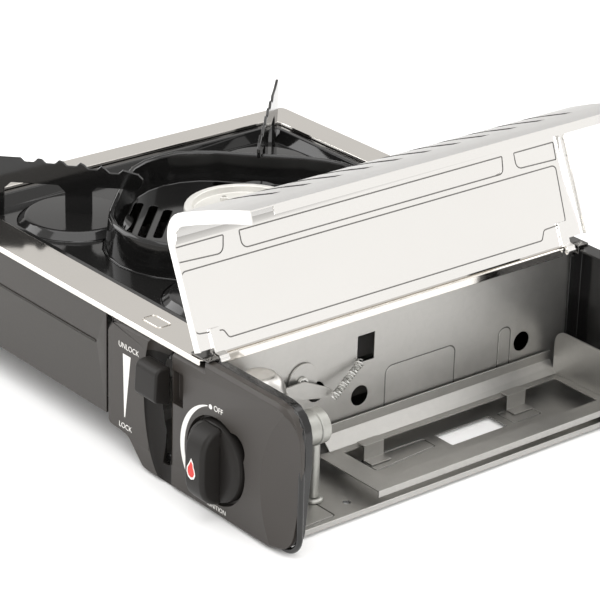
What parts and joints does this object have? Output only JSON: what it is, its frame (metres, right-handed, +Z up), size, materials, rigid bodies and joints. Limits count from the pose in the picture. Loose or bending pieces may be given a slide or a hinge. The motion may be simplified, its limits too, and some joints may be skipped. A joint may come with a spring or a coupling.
{
  "type": "portable camping stove",
  "caption": "Portable camping stove with a drip tray, pan supports and burner, and a side bay with a hinged lid, control knob and lever for a butane cartridge.",
  "frame": {"origin": "on the ground, under the centre of the whole stove", "axes": "+X from the burner box to the cartridge bay, +Y from the control panel to the back, +Z up"},
  "size_m": [0.3559, 0.2912, 0.1807],
  "materials": {
    "polished_stainless": "polished",
    "galvanised_steel": "satin",
    "zinc_casting": "cast",
    "box_paint": "satin",
    "black_steel": "satin",
    "panel_plastic": "satin",
    "knob_plastic": "satin",
    "black_enamel": "gloss",
    "burner_metal": "matte",
    "brass": "satin",
    "rubber": "matte",
    "ceramic": "gloss",
    "spring_steel": "polished"
  },
  "bodies": {
    "stove_body": {"top_plate": "polished_stainless", "hinge_bracket_front": "polished_stainless", "hinge_bracket_rear": "polished_stainless", "regulator_cap": "polished_stainless", "bottom_pan": "galvanised_steel", "partition": "galvanised_steel", "guide_clip_front": "galvanised_steel", "guide_clip_rear": "galvanised_steel", "lever_cradle": "galvanised_steel", "latch_disc": "galvanised_steel", "latch_lever": "galvanised_steel", "venturi_tube": "galvanised_steel", "burner_bowl": "galvanised_steel", "burner_pedestal": "galvanised_steel", "regulator_body": "zinc_casting", "cartridge_socket": "zinc_casting", "support_post": "zinc_casting", "post_foot": "zinc_casting", "body_shell": "box_paint", "front_end_plate": "black_steel", "rear_end_plate": "black_steel", "front_bezel": "panel_plastic", "piezo_igniter": "knob_plastic", "burner_cap": "burner_metal", "burner_rivet_1": "burner_metal", "burner_rivet_2": "burner_metal", "burner_rivet_3": "burner_metal", "gas_pipe": "brass", "gas_nozzle": "brass", "valve_push_pin": "brass", "foot_front": "rubber", "foot_back": "rubber", "socket_seal": "rubber", "igniter_lead": "rubber", "electrode_ceramic": "ceramic", "hinge_pin_front": "spring_steel", "hinge_pin_rear": "spring_steel", "lever_pivot_pin": "spring_steel", "latch_rivet": "spring_steel", "latch_spring": "spring_steel", "regulator_screw": "spring_steel"},
    "drip_tray_lift": {"drip_tray": "black_enamel", "wind_guard": "black_enamel", "pan_support_front_left": "black_enamel", "pan_support_front_right": "black_enamel", "pan_support_back_left": "black_enamel", "pan_support_back_right": "black_enamel"},
    "lid": {"lid_shell": "polished_stainless", "lid_knuckle_front": "polished_stainless", "lid_knuckle_rear": "polished_stainless"},
    "knob": {"ignition_knob": "knob_plastic", "knob_spindle": "brass"},
    "lever": {"lever_arm": "galvanised_steel", "lever_grip": "knob_plastic", "drive_pin": "spring_steel"},
    "carriage": {"carriage_frame": "galvanised_steel", "carriage_link": "galvanised_steel"}
  },
  "joints": [
    {"name": "tray_lift", "type": "slide", "parent": "stove_body", "child": "drip_tray_lift", "axis": [0, 0, 1], "range_m": [0, 0.025]},
    {"name": "lid_hinge", "type": "hinge", "parent": "stove_body", "child": "lid", "pos_m": [0.1018, 0.0075, 0.0825], "axis": [0, 1, 0], "range_deg": [0, 114]},
    {"name": "knob_turn", "type": "hinge", "parent": "stove_body", "child": "knob", "pos_m": [0.1125, -0.13, 0.032], "axis": [0, -1, 0], "range_deg": [0, 170]},
    {"name": "lever_swing", "type": "hinge", "parent": "stove_body", "child": "lever", "pos_m": [0.065, -0.092, 0.041], "axis": [1, 0, 0], "range_deg": [0, 48]},
    {"name": "carriage_slide", "type": "slide", "parent": "stove_body", "child": "carriage", "axis": [0, -1, 0], "range_m": [0, 0.0082]}
  ],
  "couplings": [
    {"joint": "carriage_slide", "follows": "lever_swing", "m_per_rad": 0.00971}
  ]
}
